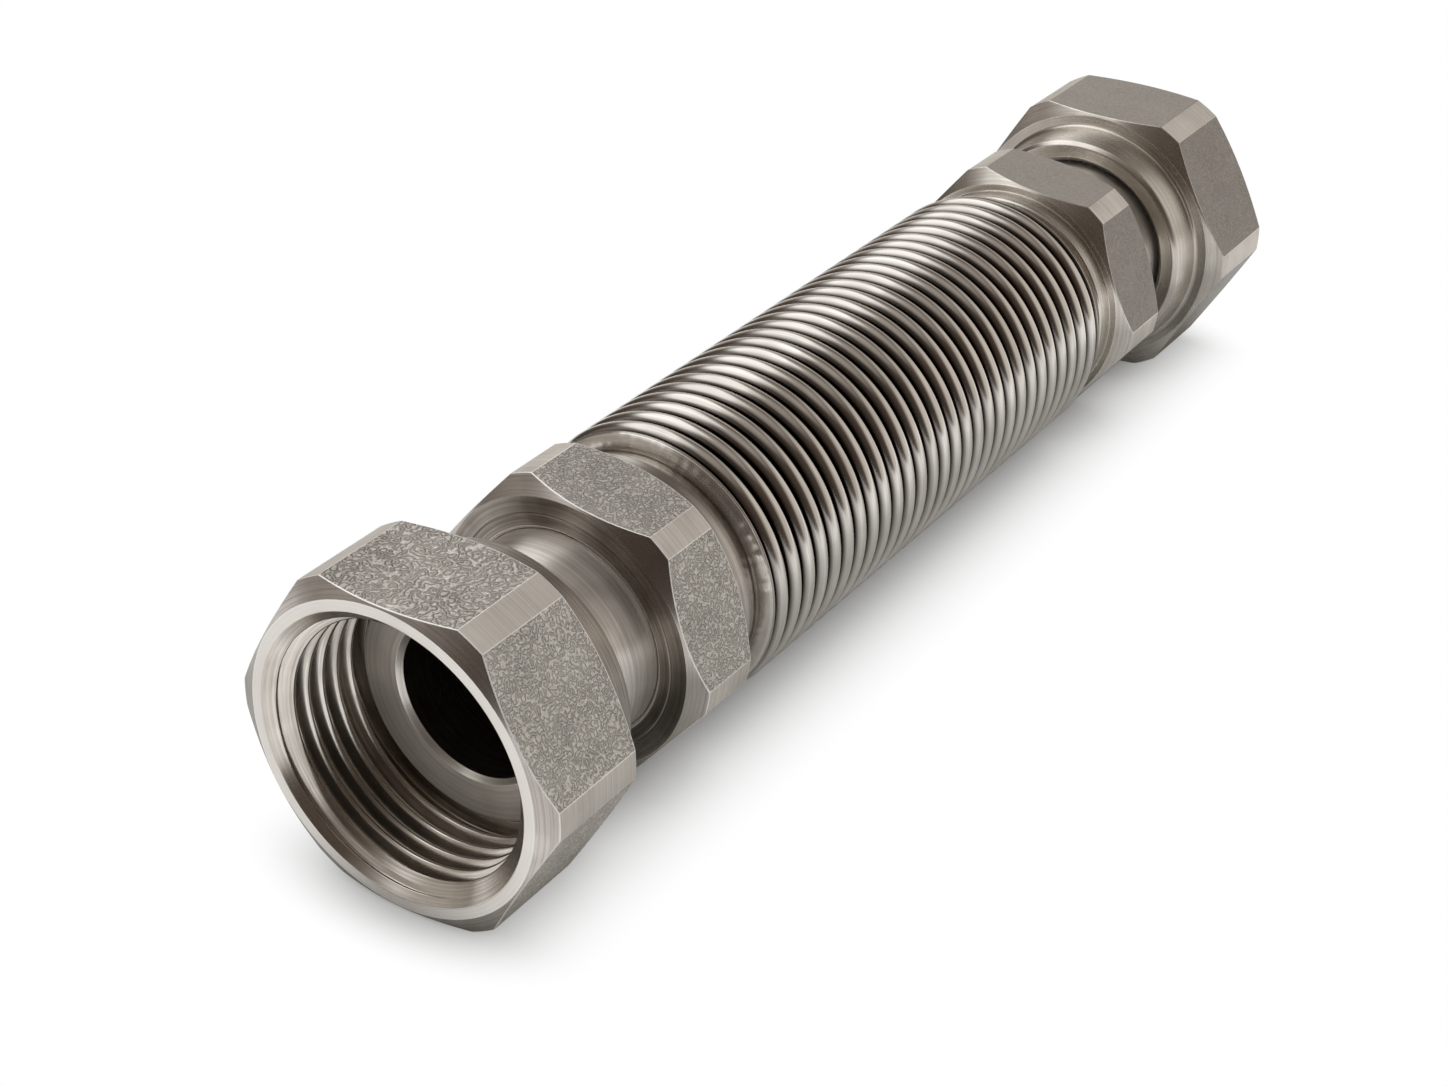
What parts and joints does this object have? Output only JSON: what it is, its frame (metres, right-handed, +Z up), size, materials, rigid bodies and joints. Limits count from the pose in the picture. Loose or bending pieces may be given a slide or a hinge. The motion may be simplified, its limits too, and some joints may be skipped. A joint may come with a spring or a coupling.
{
  "type": "corrugated metal hose with union nuts",
  "caption": "Short corrugated stainless steel hose with hexagonal end bodies and a loose female-threaded union nut at each end, for joining two pipe stubs with flat gaskets.",
  "frame": {"origin": "on the surface that the two nuts lie on, below the middle of the hose", "axes": "+X along the hose from the near nut to the far nut, +Z up, +Y across"},
  "size_m": [0.176, 0.042, 0.038],
  "materials": {
    "formed_tube": "cold-formed thin stainless sheet, bright and smooth",
    "weld_seam": "rough weld bead, left as welded",
    "machined_body": "turned and milled stainless bar",
    "turned_tailpiece": "turned stainless steel with fine lathe marks",
    "rolled_bar_nut": "hexagonal bar with its rolled skin on the flats, turned ends and thread"
  },
  "bodies": {
    "hose": {"corrugated_tube": "formed_tube", "near_weld_seam": "weld_seam", "near_hex_body": "machined_body", "near_tailpiece": "turned_tailpiece", "far_weld_seam": "weld_seam", "far_hex_body": "machined_body", "far_tailpiece": "turned_tailpiece"},
    "near_nut": {"near_union_nut": "rolled_bar_nut"},
    "far_nut": {"far_union_nut": "rolled_bar_nut"}
  },
  "joints": [
    {"name": "near_nut_spin", "type": "hinge", "parent": "hose", "child": "near_nut", "pos_m": [-0.0777, 0, 0.019], "axis": [1, 0, 0], "continuous": true},
    {"name": "far_nut_spin", "type": "hinge", "parent": "hose", "child": "far_nut", "pos_m": [0.0777, 0, 0.019], "axis": [1, 0, 0], "continuous": true}
  ]
}
